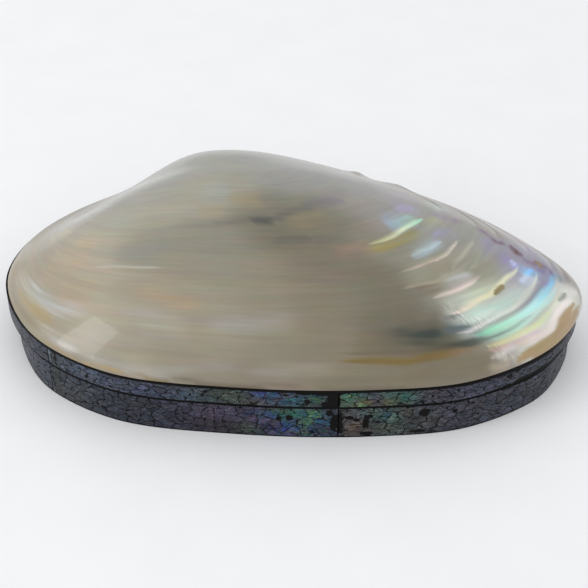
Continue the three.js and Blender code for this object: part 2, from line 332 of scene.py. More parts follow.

# Soft hazes: colours from end to end, strength, half width in mm, plan points. Besides the shell's own
# colour they hold painted light and shade, as noted below
SHELL_HAZES_WITH_PAINTED_LIGHT = [
    # Middle
    # A dark band across the front of the dome: painted dark reflection
    ("706c62 7e786c", 0.8, 2.4, "4 -22 10 -22 16 -22 23 -20"),
    ("a29674 a09474", 0.6, 3.6, "-22 -6 -16 -5 -12 -5 -7 -3"),
    ("a6987a a49678", 0.5, 3, "-30 -10 -24 -9 -19 -8"),
    ("9c8e6a 9a8c6a", 0.5, 3.6, "-3 -16 3 -14 8 -13 12 -10"),
    ("a6aba8 a4a8a4", 0.6, 4, "-30 -1 -23 -1 -18 1"),
    ("9aaab6 9eaeb8", 0.7, 2.2, "28 -13 31 -11 33 -9"),
    ("aca89b aaa596", 0.6, 4, "-46 -44 -40 -45 -35 -46 -26 -47"),
    ("aaa8a0 9e998c", 0.7, 3.4, "-28 -47 -19 -47 -11 -47 -3 -46 6 -45"),
    ("a49e92 a29c90", 0.65, 1.8, "-39 -54 -30 -55 -22 -55 -13 -56"),
    ("a09a8e 9e978b", 0.65, 1.8, "-16 -56 -6 -57 5 -57 17 -57"),
    # Left: the pale warm hazes on the flank and the pale band just inside the edge are partly painted light
    ("aca89e b4aea0", 0.75, 2.6, "-83 11 -86 10 -87 4 -86 -5"),
    ("b6b0a0 b4ada0", 0.75, 2.6, "-88 1 -85 -9 -82 -17 -79 -24 -74 -31 -69 -36"),
    ("b09e70 ae986e", 0.85, 1.6, "-82 -22 -78 -27 -75 -31 -72 -34 -69 -37"),
    ("b8b2a6 bcb6ac", 0.7, 2, "-78 -31 -72 -37 -67 -42 -61 -46"),
    ("b6b0a6 aca69a", 0.65, 2, "-54 -50 -46 -53 -38 -55 -28 -56"),
    ("b6a38a b2a088", 0.6, 6.4, "-78 -11 -69 -16 -60 -22"),
    ("b2a08a ae9c84", 0.5, 4.8, "-72 -24 -64 -30 -55 -33"),
    ("b6ac88 b4aa8c", 0.65, 3.2, "-78 8 -73 3 -68 -2"),
    ("b6a68c b4a48c", 0.6, 3.2, "-68 -9 -62 -12 -58 -15"),
    ("bab8b0 b8b5aa", 0.65, 3.2, "-73 15 -67 10 -61 8 -55 6"),
    ("a4a598 a0a094", 0.5, 5, "-59 -6 -52 -8 -46 -9"),
    ("92928a 909188", 0.65, 3.2, "-55 -19 -48 -22 -40 -23 -33 -24"),
    ("b09a7e b0997c", 0.6, 2.8, "-50 -35 -41 -37 -32 -40 -23 -41"),
    ("b4a086 b29e86", 0.6, 3, "-72 -28 -66 -33 -58 -36"),
    ("a6a196 a49e94", 0.5, 3.6, "-53 -40 -44 -42 -34 -43"),
    ("bebcb6 bab8b2", 0.8, 2.4, "-85 -8 -80 -18 -75 -26 -70 -32 -63 -36 -57 -39"),
    ("b4b1a8 a8a398", 0.6, 1.8, "-63 -46 -54 -50 -43 -54 -34 -55"),
    # Right: the bright iridescent hazes are painted highlights on the growth ridges, over the shell's own
    # colour
    ("b0a69c c6b8b2 c4bab2", 0.7, 1.7, "44 -35 48 -33 51 -30 54 -27"),
    ("c4cebc d4dcc4 ced6ba c4cab6", 0.85, 2.3, "47 -39 51 -37 55 -33 59 -30 64 -25"),
    ("beb8b2 c4bcbe bebac4", 0.75, 1.6, "53 -40 59 -36 64 -31 68 -24 70 -20"),
    ("bed6cc cae2d4 c6ded0 c0d0c8 c4ccce", 0.95, 2.9, "50 -44 54 -41 59 -38 64 -34 69 -28 73 -22"),
    ("c4d2e8 ced6e4", 0.95, 2.2, "69 -25 72 -22 74 -19"),
    # Grey-violet band between two growth ridges: painted shadow
    ("787678 868288 8c8892 8e88a0", 0.9, 1.4, "48 -47 54 -44 60 -41 66 -36 72 -29 76 -22 80 -14"),
    ("9692b4 9c98bc", 0.8, 1.8, "75 -25 78 -19 80 -14"),
    ("b4aedc aaa6d6", 0.8, 2, "68 -16 69 -17 71 -18"),
    ("8c86a8 8682a2", 0.8, 2.6, "75 -17 78 -15 81 -14"),
    ("8498a0 7c8888", 0.8, 2, "83 -12 84 -14 85 -16"),
    ("d8d0c4 f4f4f8", 0.95, 1.7, "83 -25 86 -20 90 -16"),
    ("beb4a0 c4b8a4", 0.6, 1.6, "56 -53 61 -51 65 -49"),
    ("9ebeb8 a8d2c4", 0.6, 2.5, "28 -12 33 -9 36 -7 39 -4"),
    ("9aa4b6 9eb2be", 0.55, 3.1, "27 -11 31 -8 35 -5"),
    ("a09064 9e925e 969262", 0.8, 2, "19 -26 23 -24 28 -22 32 -19 35 -16 38 -12 40 -9"),
    ("9a8272 968676", 0.6, 2.3, "9 -25 16 -25 22 -22 26 -21"),
    ("a8b0b0 b6c4ce", 0.6, 2.1, "35 -25 40 -22 44 -18 47 -14"),
    ("807262 847868", 0.6, 2, "35 -36 40 -35 45 -32"),
    ("9a90b2 a096be", 0.7, 2.9, "62 -14 65 -15 68 -17"),
    ("a49cb2 9890ac", 0.6, 3.9, "56 -11 60 -11 64 -13"),
    ("9c94a4 8e7e90", 0.7, 1.7, "39 -3 45 -2 50 -1 56 -1"),
    ("b8b2b0 b2acb2 a8a0ae", 0.8, 3.1, "44 13 52 14 60 15 66 7 71 2 75 -4 80 -8"),
    ("aa9eb4 a8a0b2", 0.55, 3.6, "32 10 35 8 38 5"),
    ("aaa4c0 a8a2bc", 0.65, 2.9, "30 -3 35 -1 41 1"),
    ("aac4b8 b2c2b8", 0.65, 2.9, "42 8 46 7 51 4"),
    ("acb08a b2b08c", 0.7, 2.6, "40 -5 43 -5 47 -2"),
    ("a6a0be a4a2ba", 0.65, 2.9, "41 -13 46 -12 52 -8"),
    ("969582 989684", 0.5, 5.2, "52 -27 57 -23 61 -19"),
    ("988a76 9c907a", 0.5, 2.6, "39 -29 45 -27 51 -22"),
    ("c8c2b6 d4cec4", 0.4, 2.9, "58 -48 63 -48 66 -46"),
    ("68685c 50544c 424a44 545a54", 1, 2.5, "26 -48 31 -49 37 -49 42 -48 47 -47"),
    ("686456 565448 525043 545246 565c53 6a6e64 888e80", 1, 1.7,
     "31 -51 36 -51 41 -51 46 -50 50 -49 55 -47 61 -45"),
    ("7a7466 868275 989287", 0.75, 2.9, "34 -43 39 -41 43 -37"),
    ("807e74 888a82 929a90", 0.75, 1.3, "42 -43 46 -43 50 -41"),
    ("585e5a 646c6c 6c787a 80908e 96a8a4", 1, 1.8, "42 -47 46 -46 50 -45 54 -45 58 -44"),
    ("8eb8d4 90b8d2", 0.95, 1.4, "78 -22 80 -17 83 -11"),
    ("b2b0aa c4c4c4 c0c0bc", 0.8, 2.2, "43 -32 49 -29 55 -26"),
    ("968698 867086 705462", 0.9, 1.3, "54 -1 58 -3 61 -5 65 -8 68 -9"),
    ("7c6476 867288 80708c 867892", 0.85, 1.4, "71 -11 74 -12 78 -13 80 -14 82 -17"),
    ("bcc0ff d2d6ff bec4fa", 1, 1.2, "68 -14 69 -16 70 -17"),
    ("8cbafc 98d0fe b0d8f6", 1, 2, "75 -15 73 -18 72 -21"),
]

# Lines, soft on the side of the beak, given the same way
SHELL_LINES_WITH_PAINTED_LIGHT = [
    # Edge, streaks and a scratch. The dark lines along the front edge are painted shade where the surface
    # turns down towards the dark floor, and the dark streaks across the front of the dome are a painted
    # dark reflection
    ("949084 868176", 0.6, 1.17, "-40.8 -16 -33.2 -15.8 -25.8 -15.2 -19.8 -14.8"),
    ("827e73 6c6962", 0.85, 1.1, "-25.2 -15.6 -19.8 -14.8 -14.6 -14 -10.4 -13.8"),
    ("5e5d59 605e5a", 0.95, 1.3, "-12.6 -14 -10 -13.8 -7.2 -14 -4.4 -13.4"),
    ("6a6761 767170", 0.85, 1.17, "-6.2 -13.6 -1.8 -11.6 2.8 -9.2 7.4 -7"),
    ("747070 848086", 0.8, 1.82, "2.8 -8.4 7.2 -6 12 -4.2 16.8 -2.4"),
    ("746f65 706c62", 0.85, 1.56, "-6 -22.4 -1.6 -21.6 2.6 -21.4 7 -21.4"),
    ("7c715a 6c6354", 0.8, 0.75,
     "-42.8 -54.4 -37.6 -55.6 -31.8 -56.2 -25.8 -57 -17.2 -58 -5.6 -58.8 5.6 -59.2"),
    ("706858 706858", 0.55, 0.6, "2.8 -59.2 14 -59.4 25.6 -59 34.2 -58.4"),
    ("9e988c a0988a", 0.6, 0.8, "-89.2 7.6 -90.2 0.4 -88.6 -9 -86 -16.4 -82.8 -22.6"),
    ("a49270 aa9268", 0.75, 0.5, "-75.6 -36.6 -70.6 -40.8 -64.8 -45.2 -59.6 -48.2"),
    ("b0925c b49662", 0.9, 0.45, "-61 -47.6 -55.6 -50.2 -50.6 -52.2 -45.8 -53.8"),
    ("96825a 7c7054", 0.85, 0.65, "-48.2 -53.2 -42.8 -54.4 -37.6 -55.6 -31.8 -56.2"),
    ("bcbaac bebeb2", 0.55, 0.3, "-60.6 -23.2 -53.8 -25.6 -44.4 -28.6 -37.2 -29.6"),
    ("aca082 a59878", 0.85, 1, "-85.6 -13.2 -82.8 -20.4 -79.2 -26.4 -75 -31.6 -70 -36.8"),
    ("6e5d60 5a4b50 6e6166", 0.9, 0.5, "17.6 36.1 20.3 35.1 22.9 34.8 25 34.8"),
    ("7a6d72 5f5258 6a5e66 82787c", 0.9, 0.5, "30.6 27.7 33.2 27 35.8 26 38.5 25.9 41.2 25.2"),
    # Growth lines and groove at the right. The bright iridescent lines are painted highlights on the growth
    # ridges, and the dark olive and grey lines beside them are painted shade in the grooves, over the
    # lines' own colour
    ("806e3e 806e3a 806c3a 7c6a36 806e42 8e795e 94846e", 0.95, 0.95,
     "12.6 -55.4 20.8 -55.4 32.6 -55 37 -54.2 41.2 -53.2 45.6 -52.2 50.2 -50.6 57.6 -47.8"),
    ("7a705e 766c5c 706454", 0.8, 0.45, "13.2 -54 23.8 -53.8 34 -53 39.2 -52.2"),
    ("b0a694 ccc0ae ded4c6 d2ccba", 0.9, 0.4,
     "31.2 -31 36.8 -28 41.2 -25 44 -23.2 47 -20.2 49.2 -16.4 51.6 -11.6"),
    ("c4b6ac deccc4 e6d6ce d0c4ba", 0.95, 0.55,
     "40.8 -38.2 44.2 -36.4 47.6 -34.6 50.8 -32.4 54 -29.4 57.2 -25.6"),
    ("a09e8e bebaaa aaa898", 0.6, 0.4, "47.8 -24 51.8 -19.4 54.8 -14.2 57.2 -8.8"),
    ("989482 b6ac9c a6a292", 0.5, 0.4, "40 -33.8 44.2 -31.4 48.8 -27.4 53.4 -22 57 -15.6"),
    ("e2d0c4 f0e0cc f6eec8 f4ecc4 e2e2c4 ced0be", 1, 0.6,
     "45.8 -41.8 48.6 -40.8 52.2 -38.2 56 -34.8 59.2 -32.4 62 -28.8 64.8 -24.6 68 -20.4 69.8 -16.2"),
    ("ced8ce dee8de d6e2d8", 0.7, 0.6, "50.8 -42.8 54.2 -41.2 57.6 -38.8 60.6 -36.6"),
    ("c4b4c4 e2dcd8 e0e8e0 dee4d6 d6d8cc d6dada", 0.95, 0.5,
     "46.8 -47 51.2 -45.6 54.4 -43.8 58 -41.2 61.6 -38.2 65 -35.6 68.8 -31.2 72.2 -26 74.8 -20.4 75.8 -16"),
    ("78b29c 9ce2be c4f2d6 c2f4e4 bcf0f2 a2e2f8 88d0fe", 1, 1.15,
     "52.2 -46.6 55.8 -45.2 59.2 -43.2 63.2 -40.8 67 -37.8 70.4 -34.6 74.2 -29.6 76.8 "
     "-25.2 79.6 -20.4 82.2 -15.4"),
    ("a0f4cc c4fae8 c8f6f4 aae2fc", 0.8, 0.5,
     "58 -43.6 63.2 -40.2 67 -37.2 71 -33.4 74.8 -28.4 78.4 -22.4"),
    ("607870 5a7876 6e8c8a 8ca4a6", 0.7, 0.35,
     "52.8 -47.6 57.6 -46 62 -43.4 65.8 -40.8 69.2 -37.6 72.2 -34"),
    ("a0ccb6 c6eeda ccf0e4 c4e4e6", 0.9, 0.8,
     "56.8 -46.4 61.4 -44.8 65.8 -41.8 69.6 -38.2 72.4 -35.2 75.8 -30.2 79.2 -24.8 82.2 -18.6"),
    ("8c9688 9ea6a0 a4a8aa acb2b4", 0.6, 0.35,
     "57.6 -47.2 62 -45.2 66.8 -42 70.4 -38.8 74.4 -34 78.4 -28.6 82 -22.4"),
    ("c8bc8c e0dea6 e8ecb6 dee8be e4ead2 eceee2", 0.95, 0.9,
     "55.6 -48.8 59.6 -47 63.8 -44.6 68 -41.6 72.4 -38 76.4 -33.2 80.2 -27.6 83.8 -21.4 86.4 -15.2"),
    ("acb0a4 9aa298", 0.9, 0.7, "81.2 -25.8 83 -23.4 84.8 -19.8"),
    ("ba9888 d4b8b0 d8becc deccd0", 0.85, 0.5,
     "55.8 -49.4 60.2 -48 64.4 -45.6 68.4 -42.8 72 -40 75.6 -36.8"),
    ("cebeac ecded6 f8eee6 f6eee6 f2eeea", 0.95, 1.2,
     "63.6 -46.8 67.8 -44.2 72 -41.6 76.2 -38 79.2 -33.6 80.8 -29.2 84.2 -24.6 87 -20.6"),
    ("c4bcb4 e2d8d4 d6ccc8", 0.85, 0.9, "57.4 -50.8 61.2 -48.8 64.2 -46.6 66.8 -44.8"),
    ("c4bcae d6cec0", 0.6, 0.7, "61.2 -50 64 -48.4 66 -47.2"),
    ("704e5c 6a4a50 785862", 0.95, 1.2, "68.2 -6.4 69.2 -9 70.6 -10.6 72 -11.2"),
    ("b0aa82 cccea6 e8f2ce c4eccc a0e2c4", 0.95, 0.55,
     "22 -22 27.4 -19.4 31.2 -16.4 35.2 -12 38.6 -8 40.8 -5.2"),
    ("b0b8b4 c4d4da bed0da", 0.8, 0.55, "35.4 -24.4 38.8 -21.6 42 -19.4 46.2 -14.6"),
    ("acb2b0 b8c6ce", 0.7, 0.5, "36.2 -25.2 39.6 -22.8 43.6 -18.8"),
    ("aaaa98 bebeaa b8b8a6", 0.65, 0.5, "47.2 -27.6 49.6 -23.6 51.6 -20.6 54.4 -15.2 56.2 -11"),
    ("acaa98 b4b4a2", 0.5, 0.5, "53.4 -25 56.2 -20.6 58.6 -14.4"),
    ("a69a86 b2a894 aca492", 0.65, 0.5, "32.4 -36.2 37.8 -33.8 43.2 -31.6 48.4 -27.2"),
]

# Patches with a crisp border, given the same way
SHELL_PATCHES = [
    ("b09c76 b8a27c b69e7c b49c7c b8a484", 1, 1.7,
     "65.8 -48.4 69 -45.8 73.6 -42.6 77 -39.6 80.8 -35.2 82.8 -30.8 84.8 -26.8 87.2 -22.4"),
    ("b6a07c b49c7c", 1, 2.8, "69.6 -45.6 74.8 -42 79.8 -37.2 82.2 -32.6 85.2 -27"),
    ("b09c78 ac9676", 1, 1.7, "67.2 -47.6 72.4 -44.2 77.4 -40.2 82 -35.2 85.2 -30.4 87.2 -25.8 89 -21.6"),
    ("8e825a 94865e 988c64", 0.95, 0.9, "60.2 -32 61.6 -30 63 -28.4 64 -27.2"),
    ("8c7464 988260 968664", 0.95, 1.1, "75.6 -11 77 -12.2 77.2 -14"),
]

# Where fine ribs cross the growth lines: strength, reach in mm, plan points
SHELL_RIBS = [
    (0.9, 1.3, "46 -39 49 -40"),
    (1, 1.7, "48 -42 54 -43"),
    (0.8, 1.2, "53 -46 55 -46"),
    (0.7, 1.2, "57 -48 61 -48"),
    (0.8, 1.5, "59 -50 64 -48"),
    (0.5, 1.5, "54 -42 59 -40"),
]


def lifted(points):
    """Plan points raised onto the outer face."""
    points = np.asarray(points, float)
    return np.column_stack([points, outer_height(points, np.zeros(len(points)))])


def smooth_path(points, steps=6):
    """A smooth curve through plan points, given as x and y in turn."""
    points = np.array(points.split(), float).reshape(-1, 2)
    padded = np.vstack([2 * points[0] - points[1], points, 2 * points[-1] - points[-2]])
    path = []
    for start in range(1, len(padded) - 2):
        p0, p1, p2, p3 = padded[start - 1:start + 3]
        for t in np.arange(steps) / steps:
            path.append(p1 + 0.5 * t * (p2 - p0 + t * (2 * p0 - 5 * p1 + 4 * p2 - p3
                                                      + t * (3 * (p1 - p2) + p3 - p0))))
    path.append(points[-1])
    return np.array(path)


def brush(place, points, reach, lean=1):
    """Distance from each place to a path on the shell, and how far along it is nearest.

    On the side of the beak the distance counts less by the lean, so a line fades that way.
    """
    path = lifted(smooth_path(points))
    nearest = np.full(len(place), np.inf)
    along = np.zeros(len(place))
    reach *= lean
    near = np.all((place > path.min(axis=0) - reach) & (place < path.max(axis=0) + reach), axis=1)
    spots = place[near]
    least = np.full(len(spots), np.inf)
    share = np.zeros(len(spots))
    inner = np.zeros(len(spots), dtype=bool)
    from_beak = np.linalg.norm(spots[:, :2] - BEAK, axis=1)
    for step, (start, end) in enumerate(zip(path[:-1], path[1:])):
        line = end - start
        t = np.clip((spots - start) @ line / max(line @ line, 1e-9), 0, 1)
        foot = start + t[:, None] * line
        away = np.linalg.norm(spots - foot, axis=1)
        closer = away < least
        least[closer] = away[closer]
        share[closer] = (step + t[closer]) / (len(path) - 1)
        inner[closer] = (from_beak < np.linalg.norm(foot[:, :2] - BEAK, axis=1))[closer]
    nearest[near] = np.where(inner, least / lean, least)
    along[near] = share
    return nearest, along


# How a stroke ends: crispness of its sides (2 is soft), the shares of its length over which
# it fades and narrows, and the share of its width that is left at the tip
HAZE_ENDS = (1.8, 0.3, 0.3, 0.6)
LINE_ENDS = (2.6, 0.1, 0.25, 0.3)
PATCH_ENDS = (7.0, 0.02, 0.25, 0.35)
# A growth line fades out over this much more on the side of the beak, in millimetres
LINE_TRAIL = 0.5
# Brush strokes reach this many half widths
BRUSH_REACH = 3
# How far the growth of the shell pushes the strokes about, in millimetres
HAZE_WANDER = 1.6
STROKE_WANDER = 0.3
# Fixes the noise that pushes them, so every run paints the same shell
NOISE_SEED = 1
# What the lacquer's gloss adds to the painted colours, as a share of white
GLOSS_SHARE = 0.045


def growth_noise(growth, around, across, seed):
    """Noise drawn out along the growth lines."""
    scale = Vector((around, around, across))
    shift = Vector((seed, seed, seed))
    return np.array([noise.noise_vector(Vector(at) * scale + shift) for at in growth])


def hex_colour(text):
    return np.array(srgb(*bytes.fromhex(text)))


def lay_strokes(ground, place, strokes, ends, streaks, trail=0):
    crispness, fading, narrowing, tip = ends
    for colours, strength, width, points in strokes:
        away, along = brush(place, points, width * BRUSH_REACH, 1 + trail / width)
        from_end = np.minimum(along, 1 - along)
        fade = smooth_step(from_end / fading)
        narrowed = width * (tip + (1 - tip) * smooth_step(from_end / narrowing))
        weight = strength * fade * np.exp(-(away / narrowed) ** crispness)
        weight = np.clip(weight * (1 + streaks), 0, 1)[:, None]
        blend = np.array([hex_colour(text) for text in colours.split()])
        marks = np.linspace(0, 1, len(blend))
        colour = np.column_stack([np.interp(along, marks, blend[:, part]) for part in range(3)])
        ground += weight * (colour - ground)


def shell_tint(place, growth, outside):
    """The colour painted on each point of the shell, painted light and shade included, and where cross ribs
    show.
    """
    noise.seed_set(NOISE_SEED)
    total = np.full(len(place), GROUND_SHARE)
    ground = GROUND_SHARE * np.tile(hex_colour(SHELL_GROUND), (len(place), 1))
    drift = growth_noise(growth, 2.5, 30, 0)
    fine = growth_noise(growth, 5, 110, 7)
    wandered = place + HAZE_WANDER * drift
    for colour, strength, reach, points in SHELL_TONES_AND_PAINTED_LIGHT:
        away, _ = brush(wandered, points, reach * BRUSH_REACH)
        weight = strength * np.exp(-(away / reach) ** 2)
        ground += weight[:, None] * hex_colour(colour)
        total += weight
    ground /= total[:, None]
    lay_strokes(ground, wandered, SHELL_HAZES_WITH_PAINTED_LIGHT, HAZE_ENDS, 0.9 * fine[:, 0])
    wandered = place + STROKE_WANDER * fine
    lay_strokes(ground, wandered, SHELL_LINES_WITH_PAINTED_LIGHT, LINE_ENDS, 0.5 * fine[:, 1], LINE_TRAIL)
    wandered = place + STROKE_WANDER * (fine + drift)
    lay_strokes(ground, wandered, SHELL_PATCHES, PATCH_ENDS, 0)
    ribs = np.zeros(len(place))
    for strength, reach, points in SHELL_RIBS:
        away, _ = brush(place, points, reach * BRUSH_REACH)
        ribs = np.maximum(ribs, strength * np.exp(-(away / reach) ** 2))
    ground = np.maximum(ground - GLOSS_SHARE, 0.02)
    ground = np.where(outside[:, None], ground, hex_colour(SHELL_HOLLOW))
    return np.column_stack([ground, ribs])


# Rings: black frame and tray
RING_COLUMNS = 300
RING_EDGE_RADIUS = 0.15
STRIP_EDGE_RADIUS = 0.12
# Edges that turn by more than this are rounded, or stay crisp, in degrees
ROUNDED_TURN = 40
SHARP_TURN = 50
# The glue line under the shell widens from here, over this length
GLUE_WIDENS_FROM = 30
GLUE_WIDENS_OVER = 60


def ring_row(bm, source, share_of, inset, height, short, edges=None):
    """Extrudes the last loop of edges, or places the first, at one corner of the profile."""
    if edges is None:
        verts = source
    else:
        made = bmesh.ops.extrude_edge_only(bm, edges=edges)["geom"]
        verts = [item for item in made if isinstance(item, bmesh.types.BMVert)]
    shares = np.array([v[share_of] for v in verts])
    points = plan_points(shares, inset, short)
    for vertex, (x, y) in zip(verts, points):
        z = height(x) if callable(height) else height
        vertex.co = (x * MM, y * MM, z * MM)
    loop = set(verts)
    return verts, [e for v in verts for e in v.link_edges
                   if e.verts[0] in loop and e.verts[1] in loop]


def ring_mesh(profile, short, closed):
    """Carries a profile of (inset, height) corners round the plan."""
    bm = bmesh.new()
    share_of = bm.verts.layers.float.new("share")
    verts = bmesh.ops.create_circle(bm, segments=RING_COLUMNS, radius=1)["verts"]
    for step, vertex in enumerate(verts):
        vertex[share_of] = step / RING_COLUMNS
    verts, edges = ring_row(bm, verts, share_of, *profile[0], short)
    first_edges = list(dict.fromkeys(edges))
    edges = first_edges
    for inset, height in profile[1:]:
        verts, edges = ring_row(bm, verts, share_of, inset, height, short, edges)
        edges = list(dict.fromkeys(edges))
    if closed:
        bmesh.ops.bridge_loops(bm, edges=first_edges + edges)
    else:
        for loop in (first_edges, edges):
            bmesh.ops.contextual_create(bm, geom=loop)
    bmesh.ops.recalc_face_normals(bm, faces=bm.faces)
    return bm


def round_edges(bm, radius):
    turning = [e for e in bm.edges
               if len(e.link_faces) == 2 and e.calc_face_angle() > math.radians(ROUNDED_TURN)]
    bmesh.ops.bevel(bm, geom=turning, offset=radius * MM, segments=3, profile=0.5,
                    affect="EDGES", material=-1)


def black_ring(name, node, profile, short, closed, material):
    bm = ring_mesh(profile, short, closed)
    round_edges(bm, RING_EDGE_RADIUS)
    new_piece(name, bm, [node], material, SHARP_TURN)


def strip_top(x):
    widened = smooth_step((x - GLUE_WIDENS_FROM) / GLUE_WIDENS_OVER)
    return FRAME_TOP - GLUE_LINE - GLUE_LINE_EXTRA * widened


def lid_frame(material):
    profile = [
        (FRAME_WALL, TRAY_TOP),
        (FRAME_WALL, FRAME_TOP),
        (0, FRAME_TOP),
        (0, strip_top),
        (STRIP_THICKNESS, strip_top),
        (STRIP_THICKNESS, TRAY_TOP + EDGE_BAND),
        (0, TRAY_TOP + EDGE_BAND),
        (0, TRAY_TOP),
    ]
    black_ring("lid_frame_ring", "lid_frame", profile, FRAME_SHORT, True, material)


def box_tray(material):
    lip_out = TRAY_WALL - LIP_THICKNESS
    profile = [
        (TRAY_WALL, TRAY_FLOOR),
        (TRAY_WALL, TRAY_TOP + LIP_HEIGHT),
        (lip_out, TRAY_TOP + LIP_HEIGHT),
        (lip_out, TRAY_TOP),
        (0, TRAY_TOP),
        (0, TRAY_TOP - EDGE_BAND),
        (STRIP_THICKNESS, TRAY_TOP - EDGE_BAND),
        (STRIP_THICKNESS, EDGE_BAND),
        (0, EDGE_BAND),
        (0, 0),
    ]
    black_ring("tray", "box_tray", profile, TRAY_SHORT, False, material)


# Strips of crackled paua
# The strips' map counts a hundred millimetres as one
MAP_MM = 100
STRIP_STEP = 0.6
STRIP_ROWS = 10
STRIP_GROUND = (66, 68, 78)
# Tones of the strips, lid then tray: colour, strength, mm round from the right tip, height,
# half length, half height
PAUA_TONES = [
    ("758188", 0.95, 261, 15, 12, 6),
    ("78848b", 0.95, 280.5, 15, 9, 6),
    ("31352b", 0.9, 288.5, 15, 2.2, 6),
    ("484f59", 0.9, 293, 16, 5, 6),
    ("4c535f", 0.9, 302, 15, 10, 6),
    ("464a57", 0.9, 315, 15, 12, 6),
    ("424655", 0.9, 328.5, 15, 12, 6),
    ("444f53", 0.9, 339, 15, 7, 6),
    ("495248", 0.9, 346, 15, 7, 6),
    ("4f4844", 0.7, 351, 13.5, 4, 1.6),
    ("414860", 0.9, 354, 16.5, 4, 2),
    ("3f4b68", 0.9, 360.5, 15.5, 5, 3),
    ("38544b", 0.9, 365, 13.5, 4, 2.5),
    ("315248", 0.9, 370, 15.5, 2.5, 2.5),
    ("48604f", 0.95, 378.5, 15, 3.5, 5),
    ("446552", 0.9, 381.5, 16.5, 3, 2.2),
    ("71713d", 0.9, 383.5, 13, 3.2, 1.7),
    ("4f4656", 0.9, 387.5, 15, 2.6, 5),
    ("6e6c43", 0.9, 391.5, 13.5, 3, 2),
    ("485952", 0.9, 390, 16.5, 4, 2),
    ("3f5c54", 0.95, 396.5, 15.5, 5, 5),
    ("3c4f52", 0.9, 401, 15, 3, 5),
    ("4f494d", 0.8, 404.5, 15, 5, 5),
    ("484652", 0.9, 411.5, 15, 9, 6),
    ("4c4d5b", 0.9, 421, 15, 9, 6),
    ("464851", 0.9, 432, 15, 9, 6),
    ("44464f", 0.9, 444.5, 15, 9, 6),
    ("3e404a", 0.9, 465.5, 15, 8, 6),
    ("646e6e", 0.95, 270.5, 6, 9, 9),
    ("6c7575", 0.9, 281.5, 6, 5, 9),
    ("3a3a35", 0.9, 288, 6, 3.5, 9),
    ("44484f", 0.9, 295.5, 8, 8, 6),
    ("484642", 0.8, 297.5, 3, 6, 3),
    ("3c3f48", 0.9, 308, 6, 9, 9),
    ("373942", 0.9, 320.5, 6, 12, 9),
    ("3a3946", 0.9, 332.5, 6, 9, 9),
    ("4c4253", 0.9, 342, 7.5, 8, 4),
    ("393135", 0.9, 343, 2.5, 8, 3.5),
    ("3f4b3f", 0.9, 350.5, 2.5, 4.5, 2.6),
    ("433d57", 0.9, 352.5, 8, 5, 3.2),
    ("38545b", 0.9, 357.5, 8.5, 3.5, 2.6),
    ("416352", 0.9, 362.5, 9.2, 4, 1.8),
    ("374167", 0.95, 361, 3.2, 5, 2.8),
    ("3d384f", 0.8, 355.5, 5, 3, 3),
    ("43625c", 0.9, 367, 6.5, 2.4, 6),
    ("3f6356", 0.9, 369.5, 9, 2.8, 2.2),
    ("314860", 0.9, 371.5, 4.5, 3.6, 4.5),
    ("2c384b", 0.8, 375, 6, 2.5, 6),
    ("524f48", 0.8, 378.5, 9.2, 3, 2),
    ("63544b", 0.95, 381, 3.8, 4, 3.2),
    ("495b4f", 0.9, 386, 9.2, 3.4, 2.2),
    ("44655c", 0.95, 392, 7.6, 4, 2.6),
    ("4f5649", 0.9, 390, 3.2, 4.5, 2.4),
    ("545249", 0.8, 396.5, 9, 3.2, 2.2),
    ("49524d", 0.9, 395.5, 3.2, 5, 2.6),
    ("4f4f4b", 0.9, 404, 4, 6, 4),
    ("4b4b4f", 0.9, 406, 8, 6, 3.5),
    ("46444f", 0.9, 413.5, 6, 9, 9),
    ("4a4a53", 0.9, 423.5, 6, 9, 9),
    ("44464d", 0.9, 435, 6, 9, 9),
    ("40424a", 0.9, 451.5, 6, 9, 9),
]

